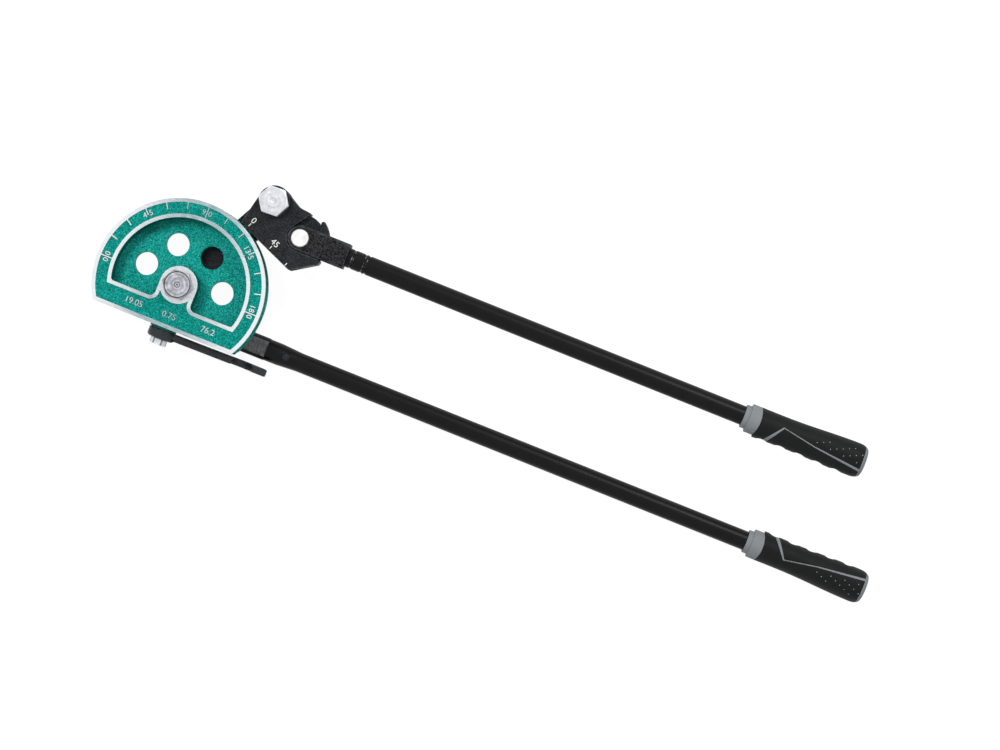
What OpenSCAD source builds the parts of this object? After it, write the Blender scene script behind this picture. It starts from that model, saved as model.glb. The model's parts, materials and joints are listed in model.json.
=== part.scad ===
// Lever tube bender, lying flat with the dial of its forming wheel facing up.
// Millimetres. The origin is on the wheel's axis, on the surface that the tool lies on.
// +X runs along the fixed handle to its grip, +Y towards the moving handle, +Z up.

$fn = 96;

/* [Tube and bend] */
// Outside diameter of the tube that is bent
tube_od = 19.05; // [16:0.05:19.5]
// Bend radius, from the wheel's axis to the middle of the tube
bend_r = 76.2; // [75:0.1:80]
// Radial room round the tube in both grooves
groove_clear = 0.08; // [0.05:0.01:0.3]
// Angle from +X to the place where the shoe touches the wheel
rest_angle = 67.2; // [60:0.1:75]

/* [Forming wheel] */
// Thickness over both flanges
wheel_t = 32; // [30:0.5:36]
// Distance from the axis to the flat edge
flat_y = 39.5; // [38:0.1:42]
// Width of the bright rim band
rim_w = 3.5; // [2:0.1:5]
// Height of the bright bands above the painted face
rim_h = 0.8; // [0.4:0.1:1.5]
// Radius of the pocket in the face
pocket_r = 59.3; // [56:0.1:61]
// Distance from the axis to the straight side of the pocket
pocket_y = 17.5; // [17:0.1:20]
// Width of the bright band round the pocket
pocket_band = 3.4; // [2:0.1:5]
// Rounding of the pocket's two lower corners
pocket_corner_r = 3; // [1:0.1:4]
// Rounding of the bright band's two lower corners
band_corner_r = 1; // [0.5:0.1:3]
// Depth of the pocket below the rim
pocket_d = 20; // [10:0.5:22]
// Depth of the matching recess in the back
back_d = 4; // [1:0.5:6]
// Radius of the boss round the pivot bolt
boss_r = 16.6; // [15:0.1:18]
// Fillet where the neck of the boss meets the straight side
neck_fillet = 5; // [2:0.5:8]
// Diameter of the round holes through the web
hole_d = 20.5; // [14:0.5:22]
// Radius of the ring of holes
hole_ring_r = 36.5; // [34:0.1:40]
// Number of holes
hole_n = 4; // [2:1:4]
// Angle from one hole to the next
hole_pitch = 52.7; // [48:0.1:54]
// Angle from one dial mark to the next
tick_pitch = 15; // [15:15:45]
// Width of a dial mark
tick_w = 1; // [0.6:0.1:1.6]
// Length of a short dial mark
tick_l = 5; // [3:0.1:7]
// Radius of the pad on the flat edge that carries the latch
pad_r = 12; // [10:0.5:13]
// Height of that pad
pad_h = 2; // [2:0.1:5]

/* [Handle socket] */
// Radius of the cast socket behind the wheel
socket_r = 12; // [11:0.1:12.2]
// Distance from the axis to the socket's inner end
socket_x = 18; // [17:0.5:22]
// Length of the socket
socket_l = 48; // [42:0.5:50]
// Width of the rib that joins the socket to the wheel
rib_w = 14; // [10:0.5:14]
// Diameter of the pins that hold the tang in the socket
tang_pin_d = 6; // [4:0.5:7]
// Distance of each pin from the end of the socket
tang_pin_inset = 12; // [8:0.5:14]

/* [Bolts] */
// Thread diameter of the pivot bolt and the shoe bolt
bolt_d = 16; // [14:0.5:16]
// Width across the flats of their heads and nuts
bolt_af = 24; // [21:0.5:24]
// Height of a bolt head
head_h = 10; // [8:0.5:12]
// Height of a nut's hexagon
nut_h = 13; // [10:0.5:14]
// Height of a nut's locking collar
collar_h = 3; // [1:0.5:4]
// Length of the thread that stands out of a nut
bolt_tail = 4.5; // [2:0.5:6]
// Outer radius of the washers
washer_r = 14; // [13.9:0.1:14.4]
// Thickness of the washers
washer_t = 2.6; // [2:0.1:3]
// Thickness of the thrust washer behind the wheel
thrust_t = 1.3; // [1:0.1:2]
// Thread diameter of the latch bolt
latch_bolt_d = 8; // [6:0.5:8]
// Width across the flats of its head
latch_bolt_af = 13; // [11:0.5:14]
// Height of its head
latch_head_h = 5.3; // [4:0.1:6]
// Length of its thread in the wheel
latch_thread_l = 16; // [12:0.5:18]

/* [Link arm] */
// Thickness of the link arm
link_t = 8; // [6:0.5:9]
// Width of the link arm
link_w = 25; // [20:0.5:26]
// Radius of the eye at each end
eye_r = 14.4; // [13.5:0.1:14.4]
// Outer radius of the bush in the pivot eye
bush_r = 11; // [10:0.1:11.5]

/* [Forming shoe] */
// Thickness of the shoe
shoe_t = 23.4; // [22.5:0.1:24]
// Gap between the shoe's edge and the middle of the tube
edge_gap = 0.4; // [0.3:0.1:1.5]
// Shoe bolt, along the edge from the contact point
shoe_bolt_t = 8.1; // [6:0.1:9]
// Shoe bolt, above the middle of the tube
shoe_bolt_n = 34.5; // [33:0.1:37]
// Length of the grooved edge
shoe_l = 59.2; // [57:0.1:61]
// Far end of the shoe, along the edge
shoe_end_t = 73.7; // [73:0.1:76]
// Height of the lower corner at the far end
shoe_end_n = 21.6; // [18:0.1:22]
// Height of the shoe's back
shoe_h = 50; // [48:0.5:52]
// Depth of the hollow in the shoe's back
back_dip = 3.6; // [1:0.1:5]
// Rounding of the far end's lower corner
shoe_corner_r = 2.8; // [1:0.1:3]
// Rounding of the shoulder that the handle rests on
shoulder_r = 1.8; // [1:0.1:2]
// Rounding of the crest behind the second shoulder
crest_r = 1; // [0.5:0.1:1.5]
// Rounding of the hollow in the shoe's back
back_r = 16; // [10:1:20]
// Outer radius of the bush in the shoe
shoe_bush_r = 10; // [9.5:0.1:10.5]

/* [Handle joint] */
// Handle pin, along the edge from the contact point
pin_t = 46.4; // [45:0.1:48]
// Handle pin, above the middle of the tube
pin_n = 27.5; // [27:0.1:28.5]
// Diameter of the handle pin
pin_d = 15.5; // [12:0.1:16]
// Height that each end of the pin stands out of the knuckle
pin_proud = 0.4; // [0.2:0.1:1]
// Angle that the handle swings to its second position
handle_swing = 55; // [45:1:58]
// Thickness of the shoe's tail between the cheeks of the knuckle
tail_t = 8; // [6:0.5:10]
// Radius of the tail's toothed rim
tail_r = 25.8; // [25:0.1:28]
// Depth of the step behind the tail's tooth
tooth_h = 4.2; // [2:0.1:5]
// Angle of the tooth from the handle's first position
tooth_angle = 59; // [52:1:60]
// Rounding of the tooth's tip
tooth_r = 2; // [1:0.1:2.5]
// Width of the knuckle
knuckle_w = 22.8; // [21:0.1:23.4]
// Thickness of the knuckle
knuckle_t = 25; // [24.5:0.1:26]
// Length of the knuckle from the pin to the tube
knuckle_l = 44.2; // [42:0.1:50]
// Chamfer along the edges of the knuckle
knuckle_chamfer = 1.2; // [0.5:0.1:2]

/* [Handle tubes] */
// Outside diameter of the handle tubes
handle_d = 17.3; // [16.5:0.1:18]
// Wall of the handle tubes
handle_wall = 2; // [1.5:0.1:2.5]
// Length of the knuckle's and the tang's spigots in the tubes
spigot_l = 48; // [40:1:60]
// Distance from the axis to the fixed handle's centre line
fixed_y = 24.8; // [24.6:0.1:26]
// Distance from the axis to the end of the fixed handle
fixed_end = 663; // [560:1:760]
// Distance from the handle pin to the end of the moving handle
moving_end = 533.5; // [440:0.5:640]
// Radius of the tang's round shoulder
tang_r = 10.25; // [10:0.05:10.4]
// Height of the tang's flat above its centre line
tang_flat = 7.8; // [7:0.1:9]
// Diameter of the tang's spigot in the socket
tang_d = 14; // [12:0.5:15]
// Distance from the axis to the end of the fixed tube
flare_x = 88.9; // [85:0.1:95]
// Outer radius of the fixed tube's swaged end
flare_r = 9.9; // [9.5:0.1:10.2]
// Length of the swaged end's straight part
flare_l = 12; // [10:0.5:15]
// Length of its taper
flare_taper = 19; // [15:0.5:25]
// Diameter of the rivet through the swaged end
rivet_d = 6.5; // [5:0.1:7]
// Distance of the rivet from the tube's end
rivet_x = 18.8; // [16:0.1:22]
// Depth of the crimped rings in the moving tube
crimp_h = 0.5; // [0.3:0.1:0.8]
// Width of a crimped ring
crimp_w = 2; // [1:0.1:3]

/* [Grips] */
// Length of a grip
grip_l = 114; // [105:0.5:125]
// Radius of the sleeve inside a grip
sleeve_r = 10.6; // [10.2:0.1:11]
// Length of the sleeve's lip in front of the collar
lip_l = 4.8; // [3:0.1:7]
// Radius of the collar
collar_r = 13; // [12.4:0.1:13.4]
// Length of the collar at the sides of the grip
collar_l = 8.4; // [7:0.1:12]
// How much longer the collar is on the faces of the grip
collar_bulge = 3; // [2:0.1:4]
// Radius of the grip behind the collar
grip_start_r = 13.9; // [13.6:0.1:14.5]
// Radius of the grip at its waist
waist_r = 13.5; // [13.2:0.1:14]
// Distance of the waist from the front of the grip
waist_x = 42; // [36:0.5:50]
// Radius of the grip at its swelling
swell_r = 15.2; // [14.5:0.1:15.2]
// Distance of the swelling from the end of the grip
swell_inset = 13; // [11:0.5:16]
// Length of the grip's rounded end
end_l = 9; // [6:0.5:11]
// How much the rounded end draws in
end_drop = 4.6; // [3:0.1:6]
// Length of the end cap that shows
cap_t = 3.4; // [2:0.1:5]
// Shift of the grip's middle towards the fingers, at its front
grip_shift = 1; // [0:0.1:1.2]
// Lean of the grip's middle towards the palm
grip_lean = 0.87; // [0:0.01:1]
// Number of finger hollows
finger_n = 5; // [3:1:5]
// Distance of the first hollow from the front
finger_x = 23.2; // [22:0.1:26]
// Distance from one hollow to the next
finger_pitch = 17.4; // [15:0.1:18]
// Depth of a finger hollow
finger_h = 1.1; // [0.5:0.1:1.6]
// Radius of a finger hollow
finger_r = 14; // [10:0.5:20]
// Start of the bright accent line at the side of the grip
accent_x = 22.8; // [22:0.1:24]
// Distance of the accent line's peak from the front
accent_peak_x = 36.3; // [34:0.1:38]
// Height of the accent line's peak towards the palm
accent_peak_y = 3; // [2:0.1:4]
// Distance of the accent line's bend from the front
accent_bend_x = 67; // [62:0.5:72]
// Drop of the accent line's bend towards the fingers
accent_bend_y = 2.6; // [1.5:0.1:3.5]
// Drop of the accent line at the grip's end
accent_end_y = 7.8; // [6:0.1:9]
// Width of the accent line
accent_w = 1.2; // [1:0.1:1.8]
// Width of the accent line at the grip's end
accent_end_w = 2.4; // [2:0.1:3]

/* [Latch] */
// Thickness of the latch's strap
strap_t = 6.6; // [5:0.1:7.5]
// Height of the hub above the pad
hub_h = 8.6; // [7.6:0.1:10]
// Radius of the hub
hub_r = 12; // [10:0.5:12]
// Rounding of the hub's outer edge
hub_round = 2.6; // [1:0.1:4]
// Width of the strap beside the hub
strap_w = 16; // [12:0.5:18]
// Reach of the latch from its bolt to its tip
latch_l = 100; // [98:0.5:104]
// Wall of the hook over the tube
hook_wall = 7; // [5:0.5:8]
// Depth of the hook's jaw past the middle of the tube
jaw_h = 4; // [2:0.5:5]
// Angle that the open latch hangs below the wheel's middle plane
latch_droop = 16; // [14:1:18]

/* [Fits] */
// Radial clearance of a turning pin or bolt
run_clear = 0.05; // [0.02:0.01:0.09]
// Radial clearance of pieces that are fixed together
fix_clear = 0.02; // [0.01:0.01:0.05]
// Gap between faces that slide past one another
slide_gap = 0.3; // [0.2:0.05:0.5]

/* [Hidden] */
over = 1;
far = 200;
corner_steps = 6;
profile_steps = 14;

// Heights, stacked up from the bench
nut_z = bolt_tail;
washer_z = nut_z + collar_h + nut_h;
link_z = washer_z + washer_t + slide_gap;
link_top = link_z + link_t;
thrust_z = link_top + slide_gap;
wheel_z = thrust_z + thrust_t;
mid_z = wheel_z + wheel_t / 2;
face_z = wheel_z + wheel_t;
paint_z = face_z - rim_h;
fixed_z = swell_r;
shoe_z = mid_z - shoe_t / 2;
shoe_top = mid_z + shoe_t / 2;
front_washer_z = shoe_top + slide_gap;
shoe_head_z = front_washer_z + washer_t;

// Plan positions
groove_r = tube_od / 2 + groove_clear;
shoe_turn = rest_angle - 90;
function on_shoe(t, n) = [
    t * sin(rest_angle) + (bend_r + n) * cos(rest_angle),
    (bend_r + n) * sin(rest_angle) - t * cos(rest_angle)];
shoe_bolt_p = on_shoe(shoe_bolt_t, shoe_bolt_n);
pin_p = on_shoe(pin_t, pin_n);
link_l = norm(shoe_bolt_p);
link_angle = atan2(shoe_bolt_p.y, shoe_bolt_p.x);
socket_end = socket_x + socket_l;
tang_pin_x = [socket_x + tang_pin_inset, socket_end - tang_pin_inset];
tube_in_r = handle_d / 2 - handle_wall;
fixed_grip_x = fixed_end - grip_l;
moving_grip_x = moving_end - grip_l;
tube_inset = cap_t + over;
crimp_x = [crimp_w * 2, crimp_w * 7, crimp_w * 9];
dial_n = 180 / tick_pitch;
long_tick = 90;
latch_y = flat_y + pad_h;
band_in = pocket_r + pocket_band;
band_out = bend_r - rim_w;

// Shoe outline values, in the shoe's own frame: edge along X, away from the wheel along Y
handle_turn = 90 - rest_angle;
recess_r = knuckle_w / 2 + slide_gap;
trim_r = shoe_bolt_n - edge_gap;
function around_pin(r, a) = [pin_t, pin_n] + r * [cos(a), sin(a)];
rest_side = around_pin(recess_r, handle_turn - 90);
swung_side = around_pin(recess_r, handle_turn + handle_swing + 90);
rest_rise = tan(handle_turn);
swung_rise = tan(handle_turn + handle_swing);
shoulder_n = rest_side.y + (shoe_end_t - rest_side.x) * rest_rise;
crest_t = swung_side.x + (shoe_h - swung_side.y) / swung_rise;

// Rounds the corners of an outline whose points are [x, y, radius]
function unit(v) = v / norm(v);
function corner(a, b, c, r) =
    let (u = unit(a - b), v = unit(c - b), half = acos(u * v) / 2)
    let (m = b + unit(u + v) * r / sin(half))
    let (p = b + u * r / tan(half) - m, q = b + v * r / tan(half) - m)
    let (from = atan2(p.y, p.x), turn = (atan2(q.y, q.x) - from + 540) % 360 - 180)
    [for (i = [0 : corner_steps])
        let (a = from + turn * i / corner_steps)
        m + r * [cos(a), sin(a)]];
function xy(p) = [p.x, p.y];
function rounded(pts) =
    let (n = len(pts))
    [for (i = [0 : n - 1])
        each pts[i].z > 0
            ? corner(xy(pts[(i + n - 1) % n]), xy(pts[i]), xy(pts[(i + 1) % n]), pts[i].z)
            : [xy(pts[i])]];

// Grip radius along its length
body_x = lip_l + collar_l;
swell_x = grip_l - swell_inset;
body_end = grip_l - cap_t;
function smooth(k) = k * k * (3 - 2 * k);
function grip_r(x) =
    x < waist_x
        ? waist_r + (grip_start_r - waist_r) * pow((waist_x - x) / (waist_x - body_x), 2)
        : waist_r + (swell_r - waist_r) * smooth(min(1, (x - waist_x) / (swell_x - waist_x)));
function end_r(x) =
    let (k = max(0, x - grip_l + end_l) / end_l)
    grip_r(x) - end_drop * (1 - sqrt(max(0, 1 - k * k)));
function grip_middle(x) = tan(grip_lean) * x - grip_shift;
function from_to(a, b, n) = [for (i = [0 : n]) a + (b - a) * i / n];

// Bright accent line of a grip, seen from above: point and half width
accent = [
    [accent_x, -swell_r - over],
    [accent_peak_x, accent_peak_y],
    [accent_bend_x, -accent_bend_y],
    [grip_l, -accent_end_y]];
accent_side = [
    accent_w * [1.5, -0.5], accent_w * [0.35, -0.5], [0, -accent_w / 2], [0, -accent_end_w / 2]];

// Places
module at_shoe_bolt() {
    translate([shoe_bolt_p.x, shoe_bolt_p.y, 0]) children();
}

module on_shoe_frame() {
    rotate([0, 0, shoe_turn]) translate([0, bend_r, 0]) children();
}

module on_fixed_axis() {
    translate([0, -fixed_y, fixed_z]) children();
}

module on_moving_axis() {
    translate([pin_p.x, pin_p.y, mid_z]) children();
}

module along_x(x) {
    translate([x, 0, 0]) rotate([0, 90, 0]) children();
}

module on_flat_edge() {
    translate([0, -flat_y, mid_z]) rotate([90, 0, 0]) children();
}

// Shared fasteners
module ring(outer, inner, h) {
    difference() {
        cylinder(h = h, r = outer);
        translate([0, 0, -over]) cylinder(h = h + 2 * over, r = inner);
    }
}

module hexagon(af, h) {
    corner_r = af / 2 / cos(30);
    top_r = af * 0.475;
    intersection() {
        cylinder(h = h, r = corner_r, $fn = 6);
        cylinder(h = h, r1 = top_r + h * tan(60), r2 = top_r);
    }
}

module hex_bolt(d, af, head, l) {
    tip = d / 10;
    hexagon(af, head);
    translate([0, 0, tip - l]) cylinder(h = l - tip, r = d / 2);
    translate([0, 0, -l]) cylinder(h = tip, r1 = d / 2 - tip, r2 = d / 2);
}

module lock_nut() {
    collar_r = bolt_af * 0.45;
    difference() {
        union() {
            translate([0, 0, collar_h + nut_h]) mirror([0, 0, 1]) hexagon(bolt_af, nut_h);
            cylinder(h = collar_h, r = collar_r);
        }
        translate([0, 0, -over]) cylinder(h = washer_z + far, r = bolt_d / 2 + fix_clear);
    }
}

// Forming wheel
module wheel_plan(inset) {
    intersection() {
        circle(bend_r - inset);
        translate([-bend_r, inset - flat_y]) square([2 * bend_r, bend_r + flat_y]);
    }
}

module neck_corner(grow) {
    size = neck_fillet + grow;
    translate([boss_r - grow, -pocket_y - grow]) difference() {
        square(size);
        translate([size, size]) circle(size);
    }
}

// What a round of radius r takes off the corner between a circle and the line below its middle
module lower_corner(big_r, line_y, r) {
    y = r - line_y;
    m = [sqrt(pow(big_r - r, 2) - y * y), y];
    difference() {
        polygon([m, m - [0, far], m + [far, -far], m + far * unit(m)]);
        translate(m) circle(r);
    }
}

module pocket_plan(grow, corner_r) {
    difference() {
        intersection() {
            circle(pocket_r + grow);
            translate([-far, -pocket_y - grow]) square([2 * far, far]);
        }
        circle(boss_r - grow);
        translate([grow - boss_r, -far]) square([2 * (boss_r - grow), far]);
        for (side = [0, 1]) mirror([side, 0]) {
            neck_corner(grow);
            lower_corner(pocket_r + grow, pocket_y + grow, corner_r);
        }
    }
}

module dial_mark(i) {
    a = 180 - i * tick_pitch;
    inner = a % long_tick == 0 ? band_in : band_out - tick_l;
    rotate(a) translate([inner - over, -tick_w / 2]) square([band_out - inner + 2 * over, tick_w]);
}

module bright_plan() {
    difference() {
        wheel_plan(0);
        wheel_plan(rim_w);
    }
    difference() {
        pocket_plan(pocket_band, band_corner_r);
        pocket_plan(0, pocket_corner_r);
    }
    circle(boss_r);
    for (i = [0 : dial_n]) dial_mark(i);
}

module web_holes() {
    for (i = [0 : hole_n - 1])
        rotate(90 + (i - (hole_n - 1) / 2) * hole_pitch)
            translate([hole_ring_r, 0, wheel_z - over])
                cylinder(h = wheel_t + 2 * over, d = hole_d);
}

module handle_socket() {
    on_fixed_axis() {
        along_x(socket_x) cylinder(h = socket_l, r = socket_r);
        translate([socket_x, -rib_w / 2, 0]) cube([socket_l, rib_w, wheel_z - fixed_z + over]);
    }
}

module tang_pin_set(r) {
    for (x = tang_pin_x)
        on_fixed_axis() translate([x, socket_r, 0]) rotate([90, 0, 0])
            cylinder(h = 2 * socket_r, r = r);
}

module forming_wheel() {
    color("teal") difference() {
        union() {
            translate([0, 0, wheel_z]) linear_extrude(wheel_t - rim_h) wheel_plan(0);
            translate([0, 0, paint_z]) linear_extrude(rim_h) bright_plan();
            on_flat_edge() cylinder(h = pad_h, r = pad_r);
            handle_socket();
        }
        translate([0, 0, face_z - pocket_d]) linear_extrude(pocket_d + over) pocket_plan(0, pocket_corner_r);
        translate([0, 0, wheel_z - over]) linear_extrude(back_d + over) pocket_plan(0, pocket_corner_r);
        web_holes();
        translate([0, 0, mid_z]) rotate_extrude() translate([bend_r, 0]) circle(groove_r);
        translate([0, 0, wheel_z - over])
            cylinder(h = wheel_t + 2 * over, r = bolt_d / 2 + fix_clear);
        on_flat_edge() translate([0, 0, -latch_thread_l])
            cylinder(h = latch_thread_l + pad_h + over, r = latch_bolt_d / 2 + fix_clear);
        on_fixed_axis() along_x(socket_x + over) cylinder(h = socket_l, r = tang_d / 2 + fix_clear);
        tang_pin_set(tang_pin_d / 2 + fix_clear);
    }
}

module pivot_bolt() {
    color("gainsboro") translate([0, 0, face_z]) hex_bolt(bolt_d, bolt_af, head_h, face_z);
}

module thrust_washer() {
    color("silver") translate([0, 0, thrust_z]) ring(boss_r, bolt_d / 2 + fix_clear, thrust_t);
}

module pivot_washer() {
    color("silver") translate([0, 0, washer_z]) ring(washer_r, bolt_d / 2 + fix_clear, washer_t);
}

module pivot_nut() {
    color("silver") translate([0, 0, nut_z]) lock_nut();
}

// Fixed handle
module fixed_tang() {
    tang_x = socket_x + 2 * over;
    color("dimgray") on_fixed_axis() difference() {
        union() {
            along_x(tang_x) cylinder(h = socket_end - tang_x, d = tang_d);
            along_x(socket_end) cylinder(h = flare_x - socket_end, r = tang_r);
            along_x(flare_x) cylinder(h = spigot_l, r = tube_in_r - fix_clear);
        }
        translate([socket_end - over, -far / 2, tang_flat])
            cube([flare_x - socket_end + over, far, far]);
        for (x = tang_pin_x)
            translate([x, far / 2, 0]) rotate([90, 0, 0])
                cylinder(h = far, r = tang_pin_d / 2 + fix_clear);
        rivet_hole();
    }
}

module rivet_hole() {
    translate([flare_x + rivet_x, 0, -far / 2]) cylinder(h = far, r = rivet_d / 2 + fix_clear);
}

module tang_pins() {
    color("silver") tang_pin_set(tang_pin_d / 2);
}

module fixed_tube() {
    l = fixed_end - tube_inset - flare_x;
    r = handle_d / 2;
    color("black") on_fixed_axis() difference() {
        along_x(flare_x) rotate_extrude() polygon([
            [tube_in_r, 0], [flare_r, 0], [flare_r, flare_l], [r, flare_l + flare_taper],
            [r, l], [tube_in_r, l]]);
        rivet_hole();
    }
}

module tube_rivet() {
    taper_k = max(0, rivet_x - flare_l) / flare_taper;
    half = flare_r - taper_k * (flare_r - handle_d / 2);
    color("dimgray") on_fixed_axis() translate([flare_x + rivet_x, 0, -half])
        cylinder(h = 2 * half, d = rivet_d);
}

// Grips, each with its front at x = 0, its fingers towards -Y and its tube along X
module grip_lean_frame() {
    translate([0, -grip_shift, 0]) rotate([0, 0, grip_lean]) children();
}

module finger_hollows() {
    for (i = [0 : finger_n - 1]) {
        x = finger_x + i * finger_pitch;
        y = grip_middle(x) - grip_r(x) + finger_h - finger_r;
        translate([x, y, -far / 2]) cylinder(h = far, r = finger_r);
    }
}

module front_of_body() {
    r = (swell_r * swell_r + collar_bulge * collar_bulge) / (2 * collar_bulge);
    translate([body_x + r, far / 2, 0]) rotate([90, 0, 0]) cylinder(h = far, r = r);
    translate([body_x + r, -far / 2, -far / 2]) cube(far);
}

module grip_body() {
    start = lip_l + over;
    end_x = grip_l - end_l;
    stations = concat(
        from_to(start, end_x, profile_steps), from_to(end_x + over, body_end, corner_steps));
    difference() {
        grip_lean_frame() along_x(0) rotate_extrude() polygon(concat(
            [[0, start]],
            [for (x = stations) [end_r(x), x]],
            [[0, body_end]]));
        finger_hollows();
    }
}

module accent_plan() {
    n = len(accent) - 1;
    polygon(concat(
        [for (i = [0 : n]) accent[i] + accent_side[i]],
        [for (i = [n : -1 : 0]) accent[i] - accent_side[i]]));
}

module finger_plan() {
    n = len(accent) - 1;
    polygon(concat(
        [for (i = [0 : n]) accent[i] + accent_side[i]],
        [[grip_l + over, accent[n].y - accent_side[n].y], [grip_l + over, -far], [accent[0].x, -far]]));
}

module through_grip() {
    translate([0, 0, -far / 2]) linear_extrude(far) children();
}

module sleeve_bore(r) {
    along_x(-over) cylinder(h = grip_l + 2 * over, r = r);
}

module grip_core() {
    difference() {
        union() {
            along_x(0) cylinder(h = body_end, r = sleeve_r);
            difference() {
                along_x(lip_l) cylinder(h = collar_l + collar_bulge, r = collar_r);
                front_of_body();
            }
            intersection() {
                grip_body();
                through_grip() accent_plan();
            }
            grip_lean_frame() along_x(0) rotate_extrude() polygon(concat(
                [[0, body_end]],
                [for (x = from_to(body_end, grip_l, corner_steps)) [end_r(x), x]],
                [[0, grip_l]]));
        }
        along_x(-over) cylinder(h = grip_l - tube_inset + over, r = handle_d / 2 + fix_clear);
    }
}

module grip_palm() {
    difference() {
        intersection() {
            grip_body();
            front_of_body();
        }
        through_grip() accent_plan();
        through_grip() finger_plan();
        sleeve_bore(sleeve_r + fix_clear);
    }
}

module grip_fingers() {
    difference() {
        intersection() {
            grip_body();
            through_grip() finger_plan();
        }
        through_grip() accent_plan();
        sleeve_bore(sleeve_r + fix_clear);
    }
}

module on_fixed_grip() {
    on_fixed_axis() translate([fixed_grip_x, 0, 0]) mirror([0, 1, 0]) children();
}

module on_moving_grip() {
    on_moving_axis() translate([moving_grip_x, 0, 0]) children();
}

module fixed_grip_core() {
    color("slategray") on_fixed_grip() grip_core();
}

module fixed_grip_palm() {
    color("black") on_fixed_grip() grip_palm();
}

module fixed_grip_fingers() {
    color("black") on_fixed_grip() grip_fingers();
}

module moving_grip_core() {
    color("slategray") on_moving_grip() grip_core();
}

module moving_grip_palm() {
    color("black") on_moving_grip() grip_palm();
}

module moving_grip_fingers() {
    color("black") on_moving_grip() grip_fingers();
}

// Tube latch
module latch_bolt() {
    color("gainsboro") on_flat_edge() translate([0, 0, pad_h + slide_gap + hub_h + slide_gap])
        hex_bolt(latch_bolt_d, latch_bolt_af, latch_head_h,
            latch_thread_l - over + pad_h + 2 * slide_gap + hub_h);
}

module latch_plan() {
    hook_r = groove_r + groove_clear;
    top = hook_r + hook_wall;
    difference() {
        polygon(rounded([
            [0, -strap_w / 2, 0], [bend_r, -strap_w * 0.35, 0], [bend_r, -jaw_h, 0],
            [latch_l, -jaw_h, 3], [latch_l, top / 2, 7], [bend_r + hook_r, top, 9],
            [bend_r - hook_r, top, 10], [bend_r / 2, strap_w / 2, 40], [0, strap_w / 2, 0]]));
        translate([bend_r, 0]) circle(hook_r);
        translate([bend_r - hook_r, -far]) square([2 * hook_r, far]);
    }
}

module tube_latch() {
    hub_y = latch_y + slide_gap + hub_h;
    color("dimgray") translate([0, -hub_y, mid_z]) rotate([0, latch_droop, 0]) rotate([-90, 0, 0])
        difference() {
            union() {
                rotate_extrude() polygon(rounded([
                    [0, 0, 0], [hub_r, 0, hub_round], [hub_r, hub_h, 0], [0, hub_h, 0]]));
                translate([0, 0, hub_h - strap_t]) linear_extrude(strap_t) latch_plan();
            }
            translate([0, 0, -over])
                cylinder(h = hub_h + 2 * over, r = latch_bolt_d / 2 + run_clear);
        }
}

// Link arm and shoe bolt
module link_arm() {
    color("dimgray") translate([0, 0, link_z]) difference() {
        union() {
            cylinder(h = link_t, r = eye_r);
            rotate([0, 0, link_angle]) translate([0, -link_w / 2, 0]) cube([link_l, link_w, link_t]);
            at_shoe_bolt() cylinder(h = link_t, r = eye_r);
        }
        translate([0, 0, -over]) cylinder(h = link_t + 2 * over, r = bush_r + fix_clear);
        at_shoe_bolt() translate([0, 0, -over])
            cylinder(h = link_t + 2 * over, r = bolt_d / 2 + fix_clear);
    }
}

module link_bush() {
    color("darkgoldenrod") translate([0, 0, link_z]) ring(bush_r, bolt_d / 2 + run_clear, link_t);
}

module shoe_bolt() {
    color("gainsboro") at_shoe_bolt() translate([0, 0, shoe_head_z])
        hex_bolt(bolt_d, bolt_af, head_h, shoe_head_z);
}

module shoe_washer() {
    color("black") at_shoe_bolt() translate([0, 0, front_washer_z])
        ring(washer_r, bolt_d / 2 + fix_clear, washer_t);
}

module shoe_spacer() {
    color("silver") at_shoe_bolt() translate([0, 0, link_top])
        ring(washer_r, bolt_d / 2 + fix_clear, shoe_z - slide_gap - link_top);
}

module link_washer() {
    color("silver") at_shoe_bolt() translate([0, 0, link_z - washer_t])
        ring(washer_r, bolt_d / 2 + fix_clear, washer_t);
}

module shoe_nut() {
    color("silver") at_shoe_bolt() translate([0, 0, link_z - washer_t - nut_h - collar_h]) lock_nut();
}

// Forming shoe
module shoe_plan() {
    polygon(rounded([
        [0, edge_gap, 0], [shoe_l, edge_gap, shoe_corner_r],
        [shoe_end_t, shoe_end_n, shoe_corner_r], [shoe_end_t, shoulder_n, shoulder_r],
        [rest_side.x, rest_side.y, 0], [swung_side.x, swung_side.y, 0], [crest_t, shoe_h, crest_r],
        [(crest_t + shoe_bolt_t) / 2 + eye_r / 4, shoe_h - back_dip, back_r],
        [shoe_bolt_t, shoe_bolt_n + eye_r, 0], [shoe_bolt_t - eye_r, shoe_bolt_n, 0]]));
}

module tail_plan() {
    tip_r = tail_r - tooth_r;
    tooth = handle_turn + tooth_angle - asin(tooth_r / tip_r);
    translate([pin_t, pin_n]) {
        circle(tail_r - tooth_h);
        intersection() {
            circle(tail_r);
            polygon([[0, 0], far * [cos(-handle_turn), -sin(handle_turn)], [far, far],
                far * [cos(tooth), sin(tooth)]]);
        }
        translate(tip_r * [cos(tooth), sin(tooth)]) circle(tooth_r);
    }
}

module shoe_body() {
    difference() {
        union() {
            linear_extrude(shoe_t) shoe_plan();
            translate([shoe_bolt_t, shoe_bolt_n, 0]) cylinder(h = shoe_t, r = eye_r);
        }
        translate([pin_t, pin_n, -over]) cylinder(h = shoe_t + 2 * over, r = recess_r);
        difference() {
            translate([shoe_bolt_t - far, -far, -over]) cube([far, far + edge_gap + trim_r, far]);
            translate([shoe_bolt_t, shoe_bolt_n, -2 * over]) cylinder(h = far, r = trim_r);
        }
    }
}

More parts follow.
